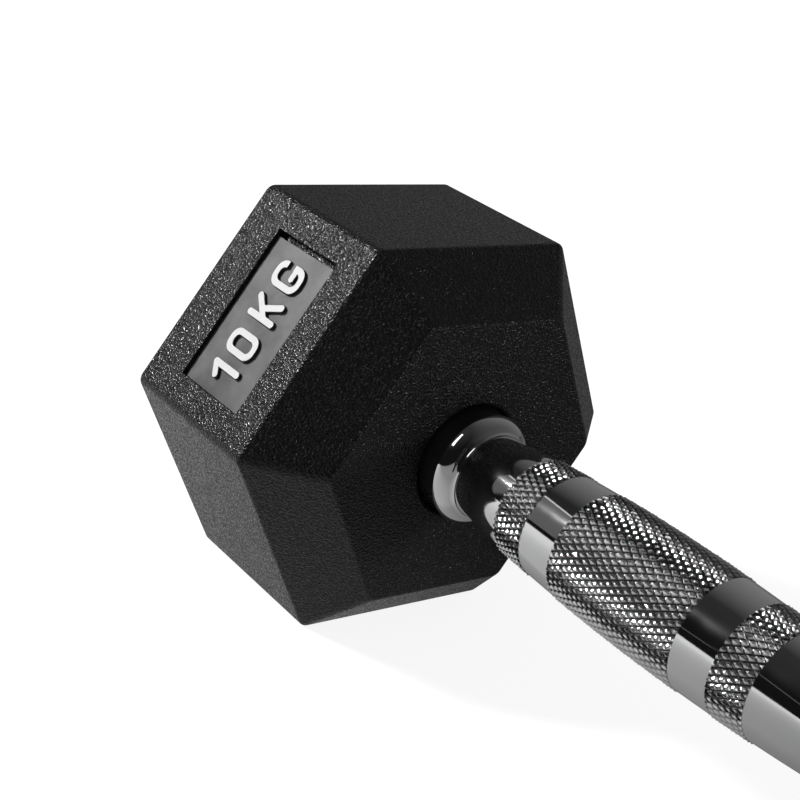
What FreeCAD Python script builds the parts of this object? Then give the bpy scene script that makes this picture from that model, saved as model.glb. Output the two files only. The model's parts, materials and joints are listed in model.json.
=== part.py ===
"""Hex dumbbell: a chromed contoured bar with an iron core, a rubber casing and a sunk badge at each end.

All sizes are in millimetres. X runs along the bar, Z is up and the object lies on one flat of each head.
The pieces are modelled about the bar's axis and lifted at the end, so that the lowest flats are at Z = 0.
Stations along the bar are measured from its middle. The left head, at -X, is modelled, and the right
head is the same head turned half a turn about the vertical.
"""

import FreeCAD
import Part
import collections
import math
import os

# Heads: a hexagonal prism with its two ends chamfered all round
ACROSS_FLATS = 111.0
FLAT_WIDTH = 51.0
CHAMFER = 15.7
CORNER_ROUND = 3.0
EDGE_ROUND = 1.3
RUBBER_WALL = 4.5

# Iron hub that comes through the casing, and the groove around its foot
HUB_RADIUS = 15.5
HUB_HEIGHT = 5.4
HUB_EDGE_ROUND = 0.5
GROOVE_WIDTH = 0.7
GROOVE_DEPTH = 3.1
GROOVE_ROUND = 1.1

# Collar ring between the hub and the neck
RING_OVERHANG = 0.4
RING_LENGTH = 4.85
RING_BOW_RADIUS = 5.0
RING_RIM_DEG = 14.0
RING_SLOPE_DEG = 62.0
RING_FILLET_RADIUS = 1.6
RING_SEAT_MARGIN = 0.05

# Bar: a barrel, and at each end of it a plain land, a long shoulder, a short neck and a spigot
BARREL_RADIUS = 15.65
BARREL_END_RADIUS = 13.85
LAND_RADIUS = 13.45
LAND_LENGTH = 5.1
SHOULDER_LENGTH = 11.3
NECK_RADIUS = 12.05
NECK_LENGTH = 1.5
SPIGOT_RADIUS = 9.5
SPIGOT_LENGTH = 68.0
SPIGOT_CHAMFER = 1.0

# Knurled bands, a little proud of the barrel and centred off its middle, nearer the left head
LONG_KNURL_LENGTH = 41.8
SMOOTH_BAND_LENGTH = 11.2
SHORT_KNURL_LENGTH = 10.6
KNURL_HEIGHT = 0.3
KNURL_OFFSET = 5.4

# Lock pin through the core and the spigot, flush with the core's top flat
PIN_RADIUS = 3.0
PIN_REACH = 15.0
PIN_FROM_SPIGOT_END = 24.0

# Clearances between pieces that fit in each other
BORE_CLEARANCE = 0.1
PIN_CLEARANCE = 0.1
BORE_END_GAP = 1.0
PLATE_CLEARANCE = 0.15

# How near an edge lies to a named place to be the edge that is meant
MATCH_TOLERANCE = 0.05

# Badge, sunk in the upper front flat: its long side lies along the hexagon's side
BADGE_LENGTH = 46.6
BADGE_WIDTH = 27.0
BADGE_SETBACK = 10.0
BADGE_SINK = 1.3
PLATE_THICKNESS = 1.5
PLATE_END_GAP = 1.6
BADGE_NORMAL_DEG = 150.0
FIGURE_SIZE = 12.0
FIGURE_STROKE = 2.1
FIGURE_GAP = 2.7
WORD_GAP = 3.6
FIGURE_HEIGHT = 1.0
FIGURE_BEVEL = 0.12

# Weight figures moulded on the outer face of the casing
END_FIGURE_SIZE = 27.0
END_FIGURE_STROKE = 5.0
END_FIGURE_GAP = 6.0
END_UNIT_SIZE = 12.0
END_UNIT_STROKE = 2.4
END_UNIT_GAP = 3.0
END_LINE_GAP = 7.0
END_FIGURE_HEIGHT = 0.9
END_FIGURE_BEVEL = 0.4

# Shapes of the figures, as shares of their height
ONE_FLAG_SHARES = (0.26, 0.20)
ZERO_WIDTH_SHARE = 0.62
LOOP_CORNER_SHARE = 0.42
K_WIDTH_SHARE = 0.60
K_JOIN_SHARE = 0.40
K_LEG_SHARE = 0.45
G_WIDTH_SHARE = 0.66
G_MOUTH_SHARES = (0.46, 0.70)
G_TONGUE_SHARE = 0.5

# Lengths and stations that follow
ORIGIN = FreeCAD.Vector(0, 0, 0)
ALONG = FreeCAD.Vector(1, 0, 0)
UP = FreeCAD.Vector(0, 0, 1)
SIDES = 6
HALF_TURN = 180.0
FULL_TURN = 360.0
BARREL_END_STATION = LONG_KNURL_LENGTH / 2 + SMOOTH_BAND_LENGTH + SHORT_KNURL_LENGTH + KNURL_OFFSET
LAND_END_STATION = BARREL_END_STATION + LAND_LENGTH
NECK_START_STATION = LAND_END_STATION + SHOULDER_LENGTH
NECK_END_STATION = NECK_START_STATION + NECK_LENGTH
HUB_END_STATION = NECK_END_STATION + RING_LENGTH
FACE_STATION = HUB_END_STATION + HUB_HEIGHT
SPIGOT_END_STATION = NECK_END_STATION + SPIGOT_LENGTH
FLAT_START_STATION = FACE_STATION + CHAMFER
FLAT_END_STATION = FLAT_START_STATION + FLAT_WIDTH
HEAD_END_STATION = FLAT_END_STATION + CHAMFER
PIN_STATION = SPIGOT_END_STATION - PIN_FROM_SPIGOT_END
CORE_APOTHEM = ACROSS_FLATS / 2 - RUBBER_WALL
CUT_OVERRUN = RUBBER_WALL

# Stroke of a raised figure: its width, its height above the local origin and the bevel of its upper edges
Pen = collections.namedtuple("Pen", "width height bevel")


def hexagon(station, apothem):
    """Closed hexagon square to the bar, with a flat at the top and at the bottom."""
    corner_radius = apothem / math.cos(math.pi / SIDES)
    corners = []
    for k in range(SIDES + 1):
        angle = 2 * math.pi * k / SIDES
        across = corner_radius * math.cos(angle)
        corners.append(FreeCAD.Vector(station, across, corner_radius * math.sin(angle)))
    return Part.makePolygon(corners)


def rounded_hexagon(station, apothem):
    """Closed hexagon square to the bar, with a flat at the top and at the bottom and round corners."""
    centre_distance = (apothem - CORNER_ROUND) / math.cos(math.pi / SIDES)
    corners = []
    for k in range(SIDES):
        turn = 2 * math.pi * k / SIDES
        centre = round_point(station, centre_distance, turn)
        corners.append([centre + round_point(0, CORNER_ROUND, turn + swing)
                        for swing in (-math.pi / SIDES, 0, math.pi / SIDES)])
    edges = []
    for corner, following in zip(corners, corners[1:] + corners[:1]):
        edges += [arc(*corner), line(corner[-1], following[0])]
    return Part.Wire(edges)


def round_point(station, radius, turn):
    """Point at a station, at a distance from the bar's axis and a turn about it from the Y direction."""
    return FreeCAD.Vector(station, radius * math.cos(turn), radius * math.sin(turn))


def casing_block():
    """Outer form of the left casing: a hexagonal prism with round corners and a chamfered end on each side."""
    apothem = ACROSS_FLATS / 2
    face_apothem = apothem - CHAMFER
    block = Part.Face(rounded_hexagon(-FLAT_END_STATION, apothem)).extrude(ALONG * FLAT_WIDTH)
    for flat, face in ((-FLAT_START_STATION, -FACE_STATION), (-FLAT_END_STATION, -HEAD_END_STATION)):
        sections = [rounded_hexagon(flat, apothem), rounded_hexagon(face, face_apothem)]
        block = block.fuse(Part.makeLoft(sections, True, True))
    square_edges = [e for e in block.Edges if e.BoundBox.XLength < MATCH_TOLERANCE]
    return block.makeFillet(EDGE_ROUND, square_edges)


def hex_block(inset):
    """The left head's chamfered hexagonal block, with all its faces moved inwards by inset."""
    apothem = ACROSS_FLATS / 2 - inset
    face_apothem = apothem - CHAMFER + inset * (2 - math.sqrt(2))
    flat_shift = inset * (math.sqrt(2) - 1)
    sections = [
        hexagon(-FACE_STATION - inset, face_apothem),
        hexagon(-FLAT_START_STATION - flat_shift, apothem),
        hexagon(-FLAT_END_STATION + flat_shift, apothem),
        hexagon(-HEAD_END_STATION + inset, face_apothem),
    ]
    return Part.makeLoft(sections, True, True)


def rod(radius, start, end):
    """Cylinder on the bar's axis from one station to the next, at the left end of the bar."""
    return Part.makeCylinder(radius, end - start, FreeCAD.Vector(-end, 0, 0), ALONG)


def revolve(edges):
    """Solid swept by a closed outline of edges, drawn as (station, radius), around the bar's axis."""
    face = Part.Face(Part.Wire(edges))
    return face.revolve(ORIGIN, ALONG, FULL_TURN)


def point(station, radius):
    return FreeCAD.Vector(station, radius, 0)


def line(start, end):
    return Part.LineSegment(start, end).toShape()


def arc(start, middle, end):
    return Part.Arc(start, middle, end).toShape()


def arc_points(centre, radius, start_deg, end_deg):
    """Start, middle and end of an arc, its angles taken from radially outwards towards +X.

    A radius below 0 gives the opposite side of the circle, for a hollow.
    """
    turns = [math.radians(angle) for angle in (start_deg, (start_deg + end_deg) / 2, end_deg)]
    return [centre + point(math.sin(turn), math.cos(turn)) * radius for turn in turns]


def rim_edges(shape, station, radius):
    """Full circles about the bar's axis at a station, of a given radius."""
    found = []
    for edge in shape.Edges:
        box = edge.BoundBox
        wanted = ((box.XMin, station), (box.XMax, station), (box.YMin, -radius), (box.YMax, radius))
        if all(math.isclose(have, want, abs_tol=MATCH_TOLERANCE) for have, want in wanted):
            found.append(edge)
    return found


def barrel_radius(station):
    """Radius of the smooth barrel, which is one shallow bow from end to end."""
    drop = BARREL_RADIUS - BARREL_END_RADIUS
    return BARREL_RADIUS - drop * (station / BARREL_END_STATION)**2


def barrel_arc(start, end, height):
    """Stretch of the barrel's bow between two stations, raised by height."""
    stations = (start, (start + end) / 2, end)
    return arc(*[point(s, barrel_radius(s) + height) for s in stations])


def s_curve(start, end):
    """Two equal tangent arcs that start and end parallel to the bar."""
    run = end.x - start.x
    rise = end.y - start.y
    bend = (run**2 + rise**2) / (4 * abs(rise))
    half_turn = math.atan2(abs(rise), abs(run))
    across = math.copysign(bend * math.sin(half_turn), run)
    away = math.copysign(bend * (1 - math.cos(half_turn)), rise)
    middle = (start + end) / 2
    return [
        arc(start, start + FreeCAD.Vector(across, away, 0), middle),
        arc(middle, end - FreeCAD.Vector(across, away, 0), end),
    ]


def barrel_edges():
    """Outline of the barrel, which starts at its left with a knurled band, raised as the others are."""
    band_ends = [LONG_KNURL_LENGTH / 2]
    for length in (SMOOTH_BAND_LENGTH, SHORT_KNURL_LENGTH):
        band_ends.append(band_ends[-1] + length)
    inner = [-end for end in reversed(band_ends)] + band_ends
    stations = [station - KNURL_OFFSET for station in inner] + [BARREL_END_STATION]
    edges = []
    last = None
    for k, (start, end) in enumerate(zip(stations, stations[1:])):
        height = 0 if k % 2 else KNURL_HEIGHT
        first = point(start, barrel_radius(start) + height)
        if last is not None:
            edges.append(line(last, first))
        edges.append(barrel_arc(start, end, height))
        last = point(end, barrel_radius(end) + height)
    return edges


def bar_end_edges(side):
    """Outline of a bar end, from the barrel to the axis: side is 1 at the right and -1 at the left.

    At the left the knurl steps down to the land. At the right the smooth barrel tapers to the land's end.
    """
    land_end = point(side * LAND_END_STATION, LAND_RADIUS)
    if side < 0:
        knurl_end = point(-BARREL_END_STATION, BARREL_END_RADIUS + KNURL_HEIGHT)
        land_start = point(-BARREL_END_STATION, LAND_RADIUS)
        land = [line(knurl_end, land_start), line(land_start, land_end)]
    else:
        land = [line(point(BARREL_END_STATION, BARREL_END_RADIUS), land_end)]
    neck_start = point(side * NECK_START_STATION, NECK_RADIUS)
    neck_end = point(side * NECK_END_STATION, NECK_RADIUS)
    spigot_start = point(side * NECK_END_STATION, SPIGOT_RADIUS)
    spigot_chamfer = point(side * (SPIGOT_END_STATION - SPIGOT_CHAMFER), SPIGOT_RADIUS)
    spigot_face = point(side * SPIGOT_END_STATION, SPIGOT_RADIUS - SPIGOT_CHAMFER)
    return land + s_curve(land_end, neck_start) + [
        line(neck_start, neck_end),
        line(neck_end, spigot_start),
        line(spigot_start, spigot_chamfer),
        line(spigot_chamfer, spigot_face),
        line(spigot_face, point(side * SPIGOT_END_STATION, 0)),
    ]


def lock_pin():
    """Steel pin, down from the core's top flat through the spigot and into the core below it."""
    foot = FreeCAD.Vector(-PIN_STATION, 0, -PIN_REACH)
    return Part.makeCylinder(PIN_RADIUS, CORE_APOTHEM + PIN_REACH, foot, UP)


def pin_hole():
    """Hole for the lock pin: the pin's length, wider by its clearance, and open at the top."""
    foot = FreeCAD.Vector(-PIN_STATION, 0, -PIN_REACH)
    depth = CORE_APOTHEM + PIN_REACH + CUT_OVERRUN
    return Part.makeCylinder(PIN_RADIUS + PIN_CLEARANCE, depth, foot, UP)


def handle_bar():
    """Chromed bar in one piece: barrel, necks and the two spigots, with a cross hole in each spigot."""
    axis = line(point(SPIGOT_END_STATION, 0), point(-SPIGOT_END_STATION, 0))
    left_end = list(reversed(bar_end_edges(-1)))
    bar = revolve(left_end + barrel_edges() + bar_end_edges(1) + [axis])
    hole = pin_hole()
    return bar.cut(hole).cut(turned(hole))


def collar_ring():
    """Chromed ring: a bowed face from its rim inwards, which runs into the neck in a hollow fillet."""
    bore = SPIGOT_RADIUS + BORE_CLEARANCE
    back = HUB_END_STATION
    front = NECK_END_STATION
    rim = point(-back, HUB_RADIUS + RING_OVERHANG)
    rim_turn = math.radians(RING_RIM_DEG)
    bow_centre = rim - point(math.sin(rim_turn), math.cos(rim_turn)) * RING_BOW_RADIUS
    bow = arc_points(bow_centre, RING_BOW_RADIUS, RING_RIM_DEG, RING_SLOPE_DEG)
    fillet_centre = point(-front, NECK_RADIUS + RING_SEAT_MARGIN + RING_FILLET_RADIUS)
    fillet = arc_points(fillet_centre, -RING_FILLET_RADIUS, RING_SLOPE_DEG, 0)
    return revolve([
        line(point(-back, bore), bow[0]),
        arc(*bow),
        line(bow[-1], fillet[0]),
        arc(*fillet),
        line(fillet[-1], point(-front, bore)),
        line(point(-front, bore), point(-back, bore)),
    ])


def iron_core():
    """Cast-iron head with its hub, a blind bore for the spigot and a hole for the lock pin."""
    block = hex_block(RUBBER_WALL)
    hub = rod(HUB_RADIUS, HUB_END_STATION, FLAT_START_STATION)
    core = block.fuse(hub)
    core = core.makeFillet(HUB_EDGE_ROUND, rim_edges(core, -HUB_END_STATION, HUB_RADIUS))
    bore_end = SPIGOT_END_STATION + BORE_END_GAP
    bore = rod(SPIGOT_RADIUS + BORE_CLEARANCE, HUB_END_STATION - CUT_OVERRUN, bore_end)
    return core.cut(bore).cut(pin_hole())


def badge_frame(depth):
    """Placement on the badge's flat, depth below it: X along the text, Y up the text, Z outwards."""
    angle = math.radians(BADGE_NORMAL_DEG)
    out = FreeCAD.Vector(0, math.cos(angle), math.sin(angle))
    text_up = FreeCAD.Vector(-1, 0, 0)
    text_along = text_up.cross(out)
    centre = out * (ACROSS_FLATS / 2 - depth)
    centre.x = -FLAT_START_STATION - BADGE_SETBACK - BADGE_WIDTH / 2
    return frame_at(centre, text_along, text_up, out)


def end_frame(depth):
    """Placement on the casing's outer face, depth below it: X along the text, Y up, Z outwards."""
    centre = FreeCAD.Vector(-HEAD_END_STATION + depth, 0, 0)
    return frame_at(centre, FreeCAD.Vector(0, -1, 0), UP, FreeCAD.Vector(-1, 0, 0))


def frame_at(centre, x_axis, y_axis, z_axis):
    return FreeCAD.Placement(FreeCAD.Matrix(
        x_axis.x, y_axis.x, z_axis.x, centre.x,
        x_axis.y, y_axis.y, z_axis.y, centre.y,
        x_axis.z, y_axis.z, z_axis.z, centre.z,
        0, 0, 0, 1,
    ))


def plate(length, width, height):
    """Plain plate centred on the local origin, standing on it."""
    return Part.makeBox(length, width, height, FreeCAD.Vector(-length / 2, -width / 2, 0))


def placed(shape, placement):
    moved = shape.copy()
    moved.Placement = placement.multiply(moved.Placement)
    return moved


def rubber_casing():
    """Rubber moulded round the core: rounded edges, hub opening, badge recess and weight figures."""
    block = casing_block()
    groove_radius = HUB_RADIUS + GROOVE_WIDTH
    groove = rod(groove_radius, FACE_STATION - CUT_OVERRUN, FACE_STATION + GROOVE_DEPTH)
    casing = block.cut(groove)
    casing = casing.makeFillet(GROOVE_ROUND, rim_edges(casing, -FACE_STATION, groove_radius))
    recess_depth = BADGE_SINK + PLATE_THICKNESS
    recess = plate(BADGE_LENGTH, BADGE_WIDTH, recess_depth + CUT_OVERRUN)
    casing = casing.cut(placed(recess, badge_frame(recess_depth)))
    for solid in end_figures():
        casing = casing.fuse(solid)
    hub_hole = rod(HUB_RADIUS, FACE_STATION - CUT_OVERRUN, FLAT_START_STATION)
    return casing.cut(hex_block(RUBBER_WALL)).cut(hub_hole)


def badge_plate():
    """Smooth plate bedded in the recess, with a fine gap at its sides and a wide one at its upper end."""
    length = BADGE_LENGTH - PLATE_END_GAP - 2 * PLATE_CLEARANCE
    width = BADGE_WIDTH - 2 * PLATE_CLEARANCE
    shape = plate(length, width, PLATE_THICKNESS)
    shape.translate(FreeCAD.Vector(-PLATE_END_GAP / 2, 0, 0))
    return placed(shape, badge_frame(BADGE_SINK + PLATE_THICKNESS))


def stroke(start, end, pen):
    """Raised bar with round ends and bevelled upper edges, between two points of a figure."""
    along = end - start
    half = pen.width / 2
    shoulder = pen.height - pen.bevel
    section = [(-half, 0), (half, 0), (half, shoulder), (half - pen.bevel, pen.height),
               (pen.bevel - half, pen.height), (-half, shoulder), (-half, 0)]
    outline = Part.makePolygon([FreeCAD.Vector(0, y, z) for y, z in section])
    bar = Part.Face(outline).extrude(FreeCAD.Vector(along.Length, 0, 0))
    for x in (0, along.Length):
        bar = bar.fuse(Part.makeCylinder(half, shoulder, FreeCAD.Vector(x, 0, 0), UP))
        bar = bar.fuse(Part.makeCone(half, half - pen.bevel, pen.bevel, FreeCAD.Vector(x, 0, shoulder), UP))
    bar.rotate(ORIGIN, UP, math.degrees(math.atan2(along.y, along.x)))
    bar.translate(start)
    return bar


def round_box(width, size, height):
    """Upright block with four rounded corners, its lower left corner at the local origin."""
    block = Part.makeBox(width, size, height)
    upright = [e for e in block.Edges if math.isclose(e.BoundBox.ZLength, height, abs_tol=MATCH_TOLERANCE)]
    return block.makeFillet(LOOP_CORNER_SHARE * width, upright)


def loop(width, size, pen):
    """Upright closed loop of one stroke's width, rounded at its corners and bevelled on top."""
    outer = round_box(width, size, pen.height)
    inner = round_box(width - 2 * pen.width, size - 2 * pen.width, pen.height)
    inner.translate(FreeCAD.Vector(pen.width, pen.width, 0))
    ring = outer.cut(inner)
    top = [e for e in ring.Edges if math.isclose(e.BoundBox.ZMin, pen.height, abs_tol=MATCH_TOLERANCE)]
    return ring.makeChamfer(pen.bevel, top)


def figure_one(size, pen):
    flag_across, flag_down = (share * size for share in ONE_FLAG_SHARES)
    low = pen.width / 2
    high = size - low
    foot = FreeCAD.Vector(low + flag_across, low, 0)
    top = FreeCAD.Vector(low + flag_across, high, 0)
    flag = FreeCAD.Vector(low, high - flag_down, 0)
    return stroke(foot, top, pen).fuse(stroke(flag, top, pen)), flag_across + pen.width


def figure_zero(size, pen):
    width = ZERO_WIDTH_SHARE * size
    return loop(width, size, pen), width


def figure_k(size, pen):
    width = K_WIDTH_SHARE * size
    low = pen.width / 2
    high = size - low
    join = FreeCAD.Vector(low, K_JOIN_SHARE * size, 0)
    arm_end = FreeCAD.Vector(width - low, high, 0)
    knee = join + (arm_end - join) * K_LEG_SHARE
    stem = stroke(FreeCAD.Vector(low, low, 0), FreeCAD.Vector(low, high, 0), pen)
    leg = stroke(knee, FreeCAD.Vector(width - low, low, 0), pen)
    return stem.multiFuse([stroke(join, arm_end, pen), leg]), width


def figure_g(size, pen):
    width = G_WIDTH_SHARE * size
    mouth_low, mouth_high = (share * size for share in G_MOUTH_SHARES)
    mouth = Part.makeBox(width, mouth_high - mouth_low, pen.height, FreeCAD.Vector(width / 2, mouth_low, 0))
    tongue_level = mouth_low - pen.width / 2
    tongue_start = FreeCAD.Vector(G_TONGUE_SHARE * width, tongue_level, 0)
    tongue_end = FreeCAD.Vector(width - pen.width / 2, tongue_level, 0)
    return loop(width, size, pen).cut(mouth).fuse(stroke(tongue_start, tongue_end, pen)), width


def text_row(makers, gaps, size, pen):
    """Figures side by side, centred on the local origin, each a separate solid."""
    solids = []
    x = 0
    for make, gap in zip(makers, gaps):
        shape, width = make(size, pen)
        shape = shape.removeSplitter()
        shape.translate(FreeCAD.Vector(x, -size / 2, 0))
        solids.append(shape)
        x += width + gap
    total = x - gaps[-1]
    for shape in solids:
        shape.translate(FreeCAD.Vector(-total / 2, 0, 0))
    return solids


def badge_figures():
    """Raised weight figures on the badge plate."""
    makers = (figure_one, figure_zero, figure_k, figure_g)
    gaps = (FIGURE_GAP, WORD_GAP, FIGURE_GAP, FIGURE_GAP)
    row = text_row(makers, gaps, FIGURE_SIZE, Pen(FIGURE_STROKE, FIGURE_HEIGHT, FIGURE_BEVEL))
    for shape in row:
        shape.translate(FreeCAD.Vector(-PLATE_END_GAP / 2, 0, 0))
    return Part.makeCompound([placed(shape, badge_frame(BADGE_SINK)) for shape in row])


def end_figures():
    """Weight figures in two lines for the casing's outer face, rooted inside its wall."""
    root = RUBBER_WALL / 2
    height = END_FIGURE_HEIGHT + root
    number_pen = Pen(END_FIGURE_STROKE, height, END_FIGURE_BEVEL)
    unit_pen = Pen(END_UNIT_STROKE, height, END_FIGURE_BEVEL)
    number = text_row((figure_one, figure_zero), (END_FIGURE_GAP,) * 2, END_FIGURE_SIZE, number_pen)
    unit = text_row((figure_k, figure_g), (END_UNIT_GAP,) * 2, END_UNIT_SIZE, unit_pen)
    for shape in number:
        shape.translate(FreeCAD.Vector(0, (END_UNIT_SIZE + END_LINE_GAP) / 2, 0))
    for shape in unit:
        shape.translate(FreeCAD.Vector(0, -(END_FIGURE_SIZE + END_LINE_GAP) / 2, 0))
    return [placed(shape, end_frame(root)) for shape in number + unit]


def turned(shape):
    """Copy of a left-hand piece, turned half a turn about the vertical to the right-hand end."""
    other = shape.copy()
    other.rotate(ORIGIN, UP, HALF_TURN)
    return other


def export(name, shape):
    lifted = shape.copy()
    lifted.translate(FreeCAD.Vector(0, 0, ACROSS_FLATS / 2))
    lifted.exportStep(os.path.join("parts", name + ".step"))
    print(name, "valid", lifted.isValid(), "solids", len(lifted.Solids), "volume", round(lifted.Volume))


def main():
    os.makedirs("parts", exist_ok=True)
    export("handle_bar", handle_bar())
    head_pieces = {
        "collar_ring": collar_ring(),
        "iron_core": iron_core(),
        "rubber_casing": rubber_casing(),
        "lock_pin": lock_pin(),
        "badge_plate": badge_plate(),
        "badge_figures": badge_figures(),
    }
    print("gap between the heads", 2 * FACE_STATION, "overall along the bar", 2 * HEAD_END_STATION)
    for name, piece in head_pieces.items():
        export(name + "_left", piece)
        export(name + "_right", turned(piece))


main()
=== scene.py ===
"""Looks of the hex dumbbell: knurled chrome bar, materials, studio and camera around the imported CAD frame.

All sizes are in metres, in the frame of the CAD model: X along the bar, Z up, the floor at Z = 0.
Directions of lamps and cards are azimuth and elevation in degrees. Azimuth 0 is -Y and 90 is +X.
"""

import json
import math
import random

import bmesh
import bpy
from mathutils import Matrix


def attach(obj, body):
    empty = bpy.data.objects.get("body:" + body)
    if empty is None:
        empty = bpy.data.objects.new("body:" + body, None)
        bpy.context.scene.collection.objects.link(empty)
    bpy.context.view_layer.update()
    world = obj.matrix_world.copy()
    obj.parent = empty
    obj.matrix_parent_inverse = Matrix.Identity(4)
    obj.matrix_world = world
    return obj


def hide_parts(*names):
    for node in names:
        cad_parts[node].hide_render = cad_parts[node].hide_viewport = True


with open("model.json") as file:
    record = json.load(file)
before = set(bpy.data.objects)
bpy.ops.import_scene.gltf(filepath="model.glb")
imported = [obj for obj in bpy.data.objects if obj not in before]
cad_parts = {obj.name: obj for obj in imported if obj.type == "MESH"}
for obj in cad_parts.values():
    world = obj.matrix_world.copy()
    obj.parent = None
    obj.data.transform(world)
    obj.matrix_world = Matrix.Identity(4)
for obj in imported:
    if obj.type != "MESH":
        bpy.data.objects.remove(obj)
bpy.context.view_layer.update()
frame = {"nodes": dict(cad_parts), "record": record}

MM = 0.001
AXIS_HEIGHT = 55.5 * MM
SEED = 7

# Materials: most of a noise lies within NOISE_RANGE
NOISE_RANGE = (0.3, 0.7)
PEBBLE_SCALE = 1650
RUBBER_IOR = 1.38
# tooth level from which the knurl's grooves carry no painted shade
SHADE_FREE_TOOTH_LEVEL = 0.7
BADGE_TILT = math.radians(30)
PAINTED_FACING = (0.8, 0.95)

# Floor: how pale it is in itself, in reflections and to the camera
FLOOR_HALF_SIZE = 6.0
FLOOR_DROP = 0.05 * MM
FLOOR_ALBEDO = 0.75
MIRRORED_ALBEDO = 0.14
SEEN_ALBEDO = 0.25

# Ceiling, cards and lamps
CEILING_RADIUS = 3.0
CEILING_SEGMENTS = 48
CARD_DISTANCE = 2.0
SCREEN_AZIMUTHS = (-72, -56, -41)
SCREEN_FOOT = 5
SCREEN_TOP = 40
SCREEN_EDGE_HEIGHT = 1
STRIP_AZIMUTHS = (-4, 6, 16)
THIN_EDGE = [(-33, 7.5), (-25, 11), (-22.8, 21.5), (-16, 18.5)]
THIN_EDGE_HEIGHT = 1.1
LAMP_AIM = (-0.03, 0, 0.06)
WORLD_FILL = 0.24

# Camera, fitted to the head's corners and the bar
LENS_MM = 71.614
SENSOR_WIDTH_MM = 36
NEAR_CLIP = 0.01
CAMERA_PLACE = (0.20162, -0.27928, 0.22756)
CAMERA_RIGHT = (0.59467, 0.77896, 0.19896)
CAMERA_UP = (-0.41556, 0.08597, 0.90549)
CAMERA_BACK = (0.68824, -0.62116, 0.37483)

# Bar, as in the CAD source
BARREL_RADIUS = 15.65 * MM
BARREL_END_RADIUS = 13.85 * MM
BARREL_END = 48.1 * MM
LAND_RADIUS = 13.45 * MM
LAND_LENGTH = 5.1 * MM
SHOULDER_LENGTH = 11.3 * MM
NECK_RADIUS = 12.05 * MM
NECK_LENGTH = 1.5 * MM
SPIGOT_RADIUS = 9.5 * MM
SPIGOT_LENGTH = 68.0 * MM
SPIGOT_CHAMFER = 1.0 * MM
LAND_END = BARREL_END + LAND_LENGTH
NECK_END = LAND_END + SHOULDER_LENGTH + NECK_LENGTH
SPIGOT_END = NECK_END + SPIGOT_LENGTH

# Knurled bands: starts and ends along the bar, and the diamonds' size and form
KNURL_BANDS = ((-48.1 * MM, -37.5 * MM), (-26.3 * MM, 15.5 * MM), (26.7 * MM, 37.3 * MM))
KNURL_STARTS = 48
STEPS_PER_TOOTH = 4
SIDES = KNURL_STARTS * STEPS_PER_TOOTH
KNURL_ROW = 0.883 * MM
TOOTH_HEIGHT = 0.75 * MM
GROOVE_SHARE = 0.2
CORNER_HEIGHT_SHARE = 0.6
TOOTH_WEAR = 0.14
TOOTH_LEVEL = "tooth_level"

# Mesh of the bar
SMOOTH_STEP = 1.4 * MM
CURVE_STEPS = 8
SHARP_ANGLE = math.radians(30)


# Helpers

def new_object(name, data):
    """Object made of a mesh, a lamp or a camera, put in the scene."""
    made = bpy.data.objects.new(name, data)
    bpy.context.scene.collection.objects.link(made)
    return made


def material(name):
    """New material, with its Principled shader and object coordinates."""
    made = bpy.data.materials.new(name)
    made.use_nodes = True
    nodes = made.node_tree.nodes
    shader = nodes["Principled BSDF"]
    where = nodes.new("ShaderNodeTexCoord").outputs["Object"]
    return made, shader, where


def noise(tree, where, scale, detail, roughness=0.5):
    node = tree.nodes.new("ShaderNodeTexNoise")
    node.inputs["Scale"].default_value = scale
    node.inputs["Detail"].default_value = detail
    node.inputs["Roughness"].default_value = roughness
    tree.links.new(where, node.inputs["Vector"])
    return node.outputs["Fac"]


def remap(tree, value, low, high, to_low, to_high):
    node = tree.nodes.new("ShaderNodeMapRange")
    for name, number in (("From Min", low), ("From Max", high), ("To Min", to_low), ("To Max", to_high)):
        node.inputs[name].default_value = number
    tree.links.new(value, node.inputs["Value"])
    return node.outputs["Result"]


def blend_colours(tree, factor, first, second):
    node = tree.nodes.new("ShaderNodeMix")
    node.data_type = "RGBA"
    node.inputs["A"].default_value = (*first, 1)
    node.inputs["B"].default_value = (*second, 1)
    tree.links.new(factor, node.inputs["Factor"])
    return node.outputs["Result"]


def math_node(tree, operation, *values):
    node = tree.nodes.new("ShaderNodeMath")
    node.operation = operation
    for socket, value in zip(node.inputs, values):
        if isinstance(value, (int, float)):
            socket.default_value = value
        else:
            tree.links.new(value, socket)
    return node.outputs[0]


def bump(tree, height, distance, strength):
    node = tree.nodes.new("ShaderNodeBump")
    node.inputs["Distance"].default_value = distance
    node.inputs["Strength"].default_value = strength
    tree.links.new(height, node.inputs["Height"])
    return node.outputs["Normal"]


def object_coordinates(tree):
    """Object coordinates, whole and split into X, Y and Z."""
    where = tree.nodes.new("ShaderNodeTexCoord").outputs["Object"]
    split = tree.nodes.new("ShaderNodeSeparateXYZ")
    tree.links.new(where, split.inputs[0])
    return where, split.outputs


# Materials of the object

def rubber():
    """Black moulded rubber with a dense pebbled grain: duller pits between smoother tops, with painted shade
    darkening the pits.
    """
    made, shader, where = material("casing_rubber")
    tree = made.node_tree
    pebble = noise(tree, where, PEBBLE_SCALE, 0.6)
    # painted shade: the base colour is darker down in the pebbles' pits than on their tops
    out_of_painted_shade = remap(tree, pebble, 0.38, 0.62, 0.0, 1.0)
    colour = blend_colours(tree, out_of_painted_shade, (0.001, 0.001, 0.001), (0.009, 0.009, 0.0092))
    tree.links.new(colour, shader.inputs["Base Color"])
    tree.links.new(remap(tree, pebble, 0.38, 0.6, 0.5, 0.17), shader.inputs["Roughness"])
    tree.links.new(bump(tree, pebble, 0.4 * MM, 1.0), shader.inputs["Normal"])
    shader.inputs["IOR"].default_value = RUBBER_IOR
    return made


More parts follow.
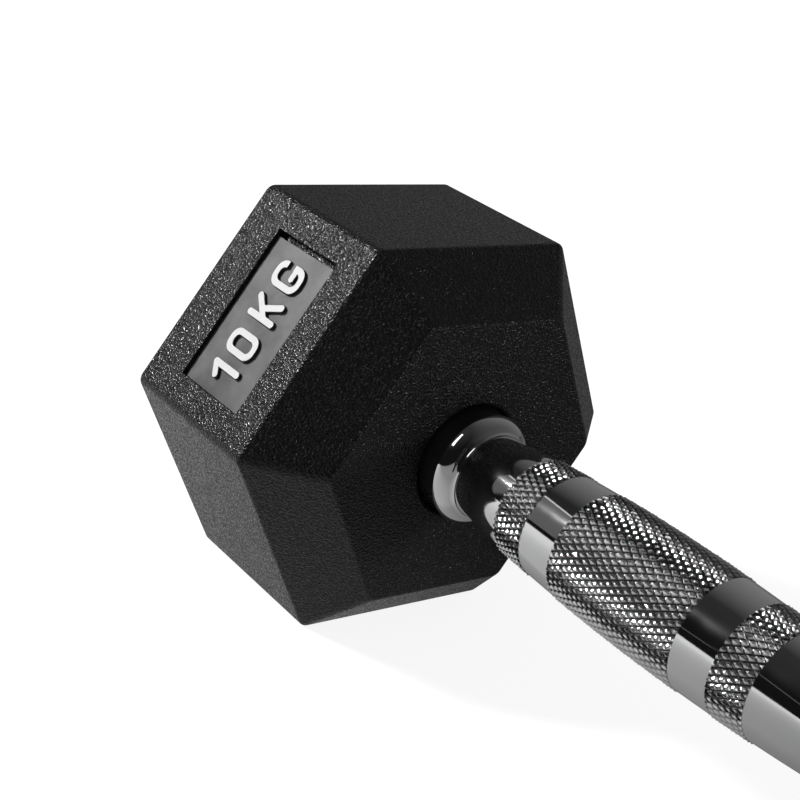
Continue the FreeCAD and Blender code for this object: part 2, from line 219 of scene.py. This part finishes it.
def black_iron():
    """Semi-gloss black paint on a turned casting."""
    made, shader, where = material("black_iron")
    tree = made.node_tree
    fine = noise(tree, where, 900, 3)
    broad = noise(tree, where, 90, 2)
    colour = blend_colours(tree, broad, (0.008, 0.008, 0.008), (0.014, 0.014, 0.014))
    tree.links.new(colour, shader.inputs["Base Color"])
    tree.links.new(remap(tree, broad, *NOISE_RANGE, 0.26, 0.36), shader.inputs["Roughness"])
    tree.links.new(bump(tree, fine, 0.04 * MM, 0.6), shader.inputs["Normal"])
    return made


def chrome():
    """Bright chrome plate on turned steel, with faint waviness."""
    made, shader, where = material("chrome")
    tree = made.node_tree
    broad = noise(tree, where, 120, 2)
    fine = noise(tree, where, 2500, 2)
    colour = blend_colours(tree, broad, (0.66, 0.663, 0.667), (0.70, 0.703, 0.707))
    tree.links.new(colour, shader.inputs["Base Color"])
    tree.links.new(remap(tree, broad, *NOISE_RANGE, 0.045, 0.07), shader.inputs["Roughness"])
    tree.links.new(bump(tree, fine, 0.01 * MM, 0.15), shader.inputs["Normal"])
    shader.inputs["Metallic"].default_value = 1
    return made


def knurl_chrome():
    """Chrome over the cut diamonds: duller than the smooth plate, with tool marks, and painted shade
    darkening the grooves.
    """
    made, shader, where = material("knurl_chrome")
    tree = made.node_tree
    marks = noise(tree, where, 3200, 3, 0.6)
    raised = tree.nodes.new("ShaderNodeAttribute")
    raised.attribute_name = TOOTH_LEVEL
    # painted shade: the base colour goes near black down in the grooves and is plain chrome from this tooth
    # level up
    out_of_painted_shade = remap(tree, raised.outputs["Fac"], 0.0, SHADE_FREE_TOOTH_LEVEL, 0.0, 1.0)
    colour = blend_colours(tree, out_of_painted_shade, (0.06, 0.06, 0.06), (0.7, 0.702, 0.705))
    tree.links.new(colour, shader.inputs["Base Color"])
    tree.links.new(remap(tree, marks, *NOISE_RANGE, 0.2, 0.12), shader.inputs["Roughness"])
    tree.links.new(bump(tree, marks, 0.05 * MM, 0.7), shader.inputs["Normal"])
    shader.inputs["Metallic"].default_value = 1
    return made


def pin_steel():
    """Ground steel."""
    made, shader, where = material("pin_steel")
    tree = made.node_tree
    fine = noise(tree, where, 1500, 3)
    colour = blend_colours(tree, fine, (0.45, 0.45, 0.46), (0.55, 0.55, 0.56))
    tree.links.new(colour, shader.inputs["Base Color"])
    tree.links.new(remap(tree, fine, *NOISE_RANGE, 0.25, 0.4), shader.inputs["Roughness"])
    shader.inputs["Metallic"].default_value = 1
    return made


def badge_grey():
    """Smooth satin plastic of the badge plate, faintly mottled."""
    made, shader, where = material("badge_grey")
    tree = made.node_tree
    broad = noise(tree, where, 90, 4, 0.6)
    fine = noise(tree, where, 1800, 2)
    mottle = remap(tree, broad, 0.36, 0.64, 0.0, 1.0)
    colour = blend_colours(tree, mottle, (0.042, 0.042, 0.0425), (0.092, 0.092, 0.093))
    tree.links.new(colour, shader.inputs["Base Color"])
    tree.links.new(remap(tree, broad, *NOISE_RANGE, 0.38, 0.46), shader.inputs["Roughness"])
    tree.links.new(bump(tree, fine, 0.02 * MM, 0.4), shader.inputs["Normal"])
    return made


def figure_pale():
    """Pale paint with a fine grain on the figures' tops, and bare black plastic down their sides."""
    made, shader, where = material("figure_pale")
    tree = made.node_tree
    fine = noise(tree, where, 2400, 3)
    facing = tree.nodes.new("ShaderNodeSeparateXYZ")
    tree.links.new(tree.nodes.new("ShaderNodeTexCoord").outputs["Normal"], facing.inputs[0])
    sideways = math_node(tree, "ABSOLUTE", facing.outputs["Y"])
    across = math_node(tree, "MULTIPLY", sideways, math.cos(BADGE_TILT))
    upwards = math_node(tree, "MULTIPLY", facing.outputs["Z"], math.sin(BADGE_TILT))
    painted = remap(tree, math_node(tree, "ADD", across, upwards), *PAINTED_FACING, 0.0, 1.0)
    paint = blend_colours(tree, fine, (0.53, 0.53, 0.53), (0.64, 0.64, 0.64))
    mix = tree.nodes.new("ShaderNodeMix")
    mix.data_type = "RGBA"
    mix.inputs["A"].default_value = (0.012, 0.012, 0.012, 1)
    tree.links.new(painted, mix.inputs["Factor"])
    tree.links.new(paint, mix.inputs["B"])
    tree.links.new(mix.outputs["Result"], shader.inputs["Base Color"])
    tree.links.new(remap(tree, fine, *NOISE_RANGE, 0.55, 0.45), shader.inputs["Roughness"])
    tree.links.new(bump(tree, fine, 0.05 * MM, 0.5), shader.inputs["Normal"])
    return made


# Bar

def barrel_radius(station):
    """Radius of the smooth barrel, which is one shallow bow from end to end."""
    return BARREL_RADIUS - (BARREL_RADIUS - BARREL_END_RADIUS) * (station / BARREL_END)**2


def shoulder_drop(run):
    """How far the shoulder has dropped after a run along the bar: two equal tangent arcs."""
    drop = LAND_RADIUS - NECK_RADIUS
    bend = (SHOULDER_LENGTH**2 + drop**2) / (4 * drop)
    if run > SHOULDER_LENGTH / 2:
        return drop - (bend - math.sqrt(bend**2 - (SHOULDER_LENGTH - run)**2))
    return bend - math.sqrt(bend**2 - run**2)


def end_profile():
    """(station, radius) from the land's end outwards to the spigot's end, for the end at +X."""
    points = []
    for k in range(CURVE_STEPS + 1):
        run = SHOULDER_LENGTH * k / CURVE_STEPS
        points.append((LAND_END + run, LAND_RADIUS - shoulder_drop(run)))
    points.append((NECK_END, NECK_RADIUS))
    points.append((NECK_END, SPIGOT_RADIUS))
    points.append((SPIGOT_END - SPIGOT_CHAMFER, SPIGOT_RADIUS))
    points.append((SPIGOT_END, SPIGOT_RADIUS - SPIGOT_CHAMFER))
    return points


def narrowed(steps):
    """Place across the teeth, in teeth, with the points beside each groove moved towards it."""
    whole, part = divmod(steps, STEPS_PER_TOOTH)
    return whole + (0, GROOVE_SHARE, 0.5, 1 - GROOVE_SHARE)[part]


def knurl_ring(row, rows, start, end, rng):
    """One ring of vertices through the knurl's blunt diamonds, as (station, radius, turn, tooth level)."""
    ring = []
    for side in range(SIDES):
        u = narrowed(side + row)
        v = narrowed(side - row)
        along = min(max((u - v) * STEPS_PER_TOOTH / 2, 0), rows)
        if row in (0, rows):
            along = row
        station = start + (end - start) * along / rows
        if (side + row) % STEPS_PER_TOOTH == 0 or (side - row) % STEPS_PER_TOOTH == 0:
            share = 0
        elif (side + row) % 2:
            share = CORNER_HEIGHT_SHARE
        else:
            share = 1
        share *= 1 - TOOTH_WEAR * rng.random()
        radius = barrel_radius(station) + TOOTH_HEIGHT * (share - 0.5)
        ring.append((station, radius, math.pi * (u + v) / KNURL_STARTS, share))
    return ring


def plain_ring(station, radius):
    """One ring of vertices of a smooth part, in the same form, with the tooth level at 1."""
    return [(station, radius, 2 * math.pi * side / SIDES, 1) for side in range(SIDES)]


def bar_rings():
    """Rings of the whole bar from left to right: (points, kind, row).

    Kind says how the faces up to the next ring look: smooth, wall or knurl.
    """
    rng = random.Random(SEED)
    rings = []

    def smooth_run(start, end):
        count = max(1, round((end - start) / SMOOTH_STEP))
        for k in range(count + 1):
            station = start + (end - start) * k / count
            rings.append((plain_ring(station, barrel_radius(station)), "smooth", 0))

    for station, radius in reversed(end_profile()):
        rings.append((plain_ring(-station, radius), "smooth", 0))
    rings.append((plain_ring(-BARREL_END, LAND_RADIUS), "wall", 0))
    last = -BARREL_END
    for start, end in KNURL_BANDS:
        if start > last:
            smooth_run(last, start)
            rings[-1] = (rings[-1][0], "wall", 0)
        rows = round((end - start) / KNURL_ROW)
        for row in range(rows + 1):
            kind = "knurl" if row < rows else "wall"
            rings.append((knurl_ring(row, rows, start, end, rng), kind, row))
        last = end
    smooth_run(last, BARREL_END)
    for station, radius in end_profile():
        rings.append((plain_ring(station, radius), "smooth", 0))
    return rings


def split_quad(a, b, c, d, side, row):
    """Two triangles of a knurl cell, cut along the groove's floor or along the edge of a diamond's top."""
    if (side + row) % 2:
        floor = (side + row + 1) % STEPS_PER_TOOTH == 0
        through_ac = not floor
    else:
        floor = (side - row) % STEPS_PER_TOOTH == 0
        through_ac = floor
    if through_ac:
        return [(a, b, c), (a, c, d)]
    return [(a, b, d), (b, c, d)]


def build_bar():
    """Watertight bar mesh: rings of vertices joined by faces, closed at both ends."""
    rings = bar_rings()
    vertices = []
    levels = []
    for points, _, _ in rings:
        for station, radius, turn, level in points:
            vertices.append((station, radius * math.cos(turn), AXIS_HEIGHT + radius * math.sin(turn)))
            levels.append(level)
    faces = []
    smooth = []
    for k, (_, kind, row) in enumerate(rings[:-1]):
        for side in range(SIDES):
            a = k * SIDES + side
            b = k * SIDES + (side + 1) % SIDES
            c, d = b + SIDES, a + SIDES
            found = split_quad(a, b, c, d, side, row) if kind == "knurl" else [(a, b, c, d)]
            faces.extend(found)
            smooth.extend([kind == "smooth"] * len(found))
    faces.append(tuple(reversed(range(SIDES))))
    faces.append(tuple(range(len(vertices) - SIDES, len(vertices))))
    smooth.extend([True, True])
    mesh = bpy.data.meshes.new("knurled_bar")
    mesh.from_pydata(vertices, [], faces)
    # the tooth level also sets where the knurl material paints shade into the grooves
    mesh.attributes.new(TOOTH_LEVEL, "FLOAT", "POINT").data.foreach_set("value", levels)
    mesh.polygons.foreach_set("use_smooth", smooth)
    mesh.polygons.foreach_set("material_index", [0 if plain else 1 for plain in smooth])
    mesh.set_sharp_from_angle(angle=SHARP_ANGLE)
    return new_object("knurled_bar", mesh)


# Studio

def area_light(name, azimuth, elevation, distance, size, power):
    """Area lamp of a power in watts, that looks at the lamps' aim from a direction."""
    lamp = bpy.data.lights.new(name, "AREA")
    lamp.shape = "RECTANGLE"
    lamp.size, lamp.size_y = size
    lamp.energy = power
    a, e = math.radians(azimuth), math.radians(elevation)
    back = Matrix.Rotation(a, 3, "Z") @ Matrix.Rotation(math.pi / 2 - e, 3, "X")
    direction = back.col[2]
    place = [LAMP_AIM[k] + direction[k] * distance for k in range(3)]
    new_object(name, lamp).matrix_world = Matrix.Translation(place) @ back.to_4x4()


def seen_by_camera_or_gloss(tree):
    """1 for rays from the camera and for reflected or refracted ones, else 0."""
    path = tree.nodes.new("ShaderNodeLightPath")
    seen = math_node(tree, "MAXIMUM", path.outputs["Is Camera Ray"], path.outputs["Is Glossy Ray"])
    return math_node(tree, "MAXIMUM", seen, path.outputs["Is Transmission Ray"])


def floor_shader(tree, albedo, strength):
    """Diffuse floor that glows as well, so that a shadow on it stays faint."""
    lit = tree.nodes.new("ShaderNodeBsdfDiffuse")
    lit.inputs["Color"].default_value = (albedo, albedo, albedo, 1)
    glow = tree.nodes.new("ShaderNodeEmission")
    tree.links.new(strength, glow.inputs["Strength"])
    both = tree.nodes.new("ShaderNodeAddShader")
    tree.links.new(lit.outputs[0], both.inputs[0])
    tree.links.new(glow.outputs[0], both.inputs[1])
    return both.outputs[0]


def mix_shaders(tree, factor, first, second):
    mix = tree.nodes.new("ShaderNodeMixShader")
    tree.links.new(factor, mix.inputs[0])
    tree.links.new(first, mix.inputs[1])
    tree.links.new(second, mix.inputs[2])
    return mix.outputs[0]


def studio_floor():
    """Floor that looks white and keeps the object's soft shadow; in reflections it glows with painted light
    and shade, brightest at the front left.
    """
    size = FLOOR_HALF_SIZE
    corners = [(-size, -size, 0), (size, -size, 0), (size, size, 0), (-size, size, 0)]
    mesh = bpy.data.meshes.new("floor")
    mesh.from_pydata(corners, [], [(0, 1, 2, 3)])
    floor = new_object("floor", mesh)
    floor.location.z = -FLOOR_DROP
    made = bpy.data.materials.new("floor")
    made.use_nodes = True
    tree = made.node_tree
    tree.nodes.clear()
    plain = tree.nodes.new("ShaderNodeBsdfDiffuse")
    plain.inputs["Color"].default_value = (FLOOR_ALBEDO, FLOOR_ALBEDO, FLOOR_ALBEDO, 1)
    where, place = object_coordinates(tree)
    # painted light and shade in reflections: the floor glows brightest at the front left, dimmer to the
    # right and behind the object
    brighter_left = remap(tree, place["X"], -0.22, 0.06, 0.69, 0.19)
    brighter_front = remap(tree, place["Y"], -0.03, 0.06, 1.0, 0.12)
    glow = math_node(tree, "MULTIPLY", brighter_left, brighter_front)
    away = tree.nodes.new("ShaderNodeVectorMath")
    away.operation = "LENGTH"
    tree.links.new(where, away.inputs[0])
    horizon = remap(tree, away.outputs["Value"], 0.4, 1.5, 0.885, 0.945)
    path = tree.nodes.new("ShaderNodeLightPath")
    mirrored = math_node(tree, "MAXIMUM", path.outputs["Is Glossy Ray"], path.outputs["Is Transmission Ray"])
    surface = mix_shaders(tree, mirrored, plain.outputs[0], floor_shader(tree, MIRRORED_ALBEDO, glow))
    seen = floor_shader(tree, SEEN_ALBEDO, horizon)
    surface = mix_shaders(tree, path.outputs["Is Camera Ray"], surface, seen)
    out = tree.nodes.new("ShaderNodeOutputMaterial")
    tree.links.new(surface, out.inputs["Surface"])
    mesh.materials.append(made)


def only_in_reflections(obj):
    obj.visible_camera = False
    obj.visible_diffuse = False
    obj.visible_shadow = False
    obj.visible_transmission = False
    obj.visible_volume_scatter = False


def glow_material(name, level):
    """Material of one brightness, or of a brightness that a function of the node tree gives."""
    made = bpy.data.materials.new(name)
    made.use_nodes = True
    tree = made.node_tree
    tree.nodes.clear()
    glow = tree.nodes.new("ShaderNodeEmission")
    if callable(level):
        tree.links.new(level(tree), glow.inputs["Strength"])
    else:
        glow.inputs["Strength"].default_value = level
    out = tree.nodes.new("ShaderNodeOutputMaterial")
    tree.links.new(glow.outputs[0], out.inputs["Surface"])
    return made


def ceiling_level(tree):
    """Near black in front, a little lighter overhead, and grey behind the object."""
    _, place = object_coordinates(tree)
    behind = remap(tree, place["Y"], -0.12 * CEILING_RADIUS, 0.9 * CEILING_RADIUS, 0.0, 0.26)
    left = remap(tree, place["X"], -0.7 * CEILING_RADIUS, 0.5 * CEILING_RADIUS, 1.0, 0.4)
    behind = math_node(tree, "MULTIPLY", behind, left)
    overhead = remap(tree, place["Z"], 0.45 * CEILING_RADIUS, CEILING_RADIUS, 0.008, 0.04)
    return math_node(tree, "ADD", behind, overhead)


def dark_ceiling():
    """Dim studio above the horizon, seen only in reflections."""
    bpy.ops.mesh.primitive_uv_sphere_add(
        segments=CEILING_SEGMENTS, ring_count=CEILING_SEGMENTS // 2, radius=CEILING_RADIUS)
    dome = bpy.context.object
    dome.name = "ceiling"
    made = bmesh.new()
    made.from_mesh(dome.data)
    bmesh.ops.delete(made, geom=[v for v in made.verts if v.co.z < -MM], context="VERTS")
    made.to_mesh(dome.data)
    made.free()
    dome.data.materials.append(glow_material("ceiling", ceiling_level))
    only_in_reflections(dome)


def towards(azimuth, elevation, distance):
    """Place at a distance from the bar's middle."""
    a, e = math.radians(azimuth), math.radians(elevation)
    return (distance * math.sin(a) * math.cos(e), -distance * math.cos(a) * math.cos(e),
            AXIS_HEIGHT + distance * math.sin(e))


def card(name, low_edge, high_edge, level):
    """Strip of cards of one brightness, seen only in reflections, from directions of its two edges."""
    corners = [towards(*way, CARD_DISTANCE) for way in low_edge + high_edge]
    count = len(low_edge)
    faces = [(k, k + 1, count + k + 1, count + k) for k in range(count - 1)]
    mesh = bpy.data.meshes.new(name)
    mesh.from_pydata(corners, [], faces)
    made = new_object(name, mesh)
    mesh.materials.append(glow_material(name, level))
    only_in_reflections(made)


def level_card(name, azimuths, low, high, level):
    """Strip of cards between two elevations."""
    card(name, [(azimuth, low) for azimuth in azimuths], [(azimuth, high) for azimuth in azimuths], level)


def studio_cards():
    """What the chrome mirrors.

    The smooth bands show a grey screen at the left with a light upper edge, and a thin light edge.
    The collar ring shows the bright strip in front.
    """
    level_card("left_screen", SCREEN_AZIMUTHS, SCREEN_FOOT, SCREEN_TOP, 0.14)
    level_card("screen_edge", SCREEN_AZIMUTHS, SCREEN_TOP, SCREEN_TOP + SCREEN_EDGE_HEIGHT, 1.0)
    level_card("front_strip", STRIP_AZIMUTHS, 38, 64, 2.4)
    upper = [(azimuth, elevation + THIN_EDGE_HEIGHT) for azimuth, elevation in THIN_EDGE]
    card("thin_edge", THIN_EDGE, upper, 0.13)


def background(tree, strength):
    """White background of a strength."""
    node = tree.nodes.new("ShaderNodeBackground")
    node.inputs["Color"].default_value = (1, 1, 1, 1)
    node.inputs["Strength"].default_value = strength
    return node.outputs[0]


def world_light():
    """White to the camera and in reflections; a plain soft fill on the object."""
    world = bpy.data.worlds.new("studio")
    bpy.context.scene.world = world
    world.use_nodes = True
    tree = world.node_tree
    tree.nodes.clear()
    fill = background(tree, WORLD_FILL)
    white = background(tree, 1)
    surface = mix_shaders(tree, seen_by_camera_or_gloss(tree), fill, white)
    out = tree.nodes.new("ShaderNodeOutputWorld")
    tree.links.new(surface, out.inputs["Surface"])


def camera():
    """The photograph's view."""
    lens = bpy.data.cameras.new("camera")
    lens.lens = LENS_MM
    lens.sensor_width = SENSOR_WIDTH_MM
    lens.clip_start = NEAR_CLIP
    made = new_object("camera", lens)
    turn = Matrix((CAMERA_RIGHT, CAMERA_UP, CAMERA_BACK)).transposed()
    made.matrix_world = Matrix.Translation(CAMERA_PLACE) @ turn.to_4x4()
    bpy.context.scene.camera = made


# Scene

def dress():
    """Puts the materials on the CAD nodes, and the knurled bar in the place of the plain one."""
    looks = {
        "casing_rubber": rubber(),
        "black_iron": black_iron(),
        "chrome": chrome(),
        "pin_steel": pin_steel(),
        "badge_grey": badge_grey(),
        "figure_pale": figure_pale(),
    }
    slots = {part["node"]: part["material_slot"] for part in frame["record"]["subparts"]}
    for name, node in frame["nodes"].items():
        for slot in node.material_slots:
            slot.material = looks[slots[name]]
    bar = build_bar()
    bar.data.materials.append(looks["chrome"])
    bar.data.materials.append(knurl_chrome())
    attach(bar, "root")
    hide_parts("handle_bar")


dress()
studio_floor()
dark_ceiling()
studio_cards()
world_light()
area_light("key", -43.5, 34.5, 1.4, (0.14, 0.19), 20)
area_light("far_side", 118, 11, 1.6, (0.34, 0.22), 5)
camera()
bpy.context.scene.view_settings.view_transform = "Standard"
